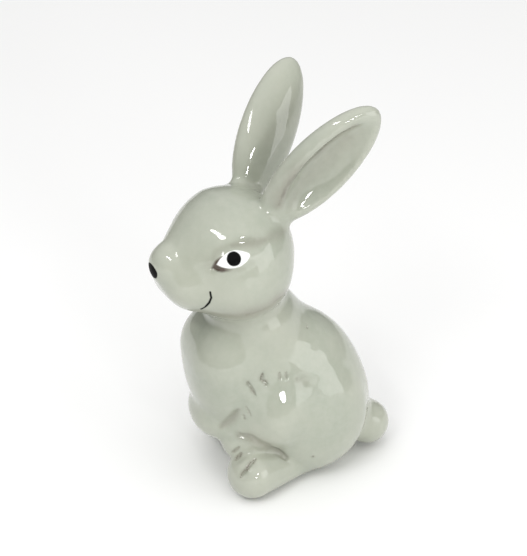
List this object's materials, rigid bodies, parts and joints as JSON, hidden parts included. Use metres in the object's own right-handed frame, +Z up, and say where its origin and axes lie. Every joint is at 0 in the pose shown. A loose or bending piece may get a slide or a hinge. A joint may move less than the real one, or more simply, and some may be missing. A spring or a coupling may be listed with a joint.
{
  "type": "hare sculpture",
  "caption": "Glazed ceramic hare that sits up on its haunches, head turned aside, with long upright hollowed ears and a flat underside.",
  "frame": {"origin": "on the ground, at the middle of the footprint of the figure's box", "axes": "+Z up, the hare's body faces -Y, its left side is at +X"},
  "size_m": [0.0496, 0.0726, 0.118],
  "materials": {
    "glaze": "glossy grey green glaze"
  },
  "bodies": {
    "root": {"hare": "glaze"}
  },
  "joints": []
}
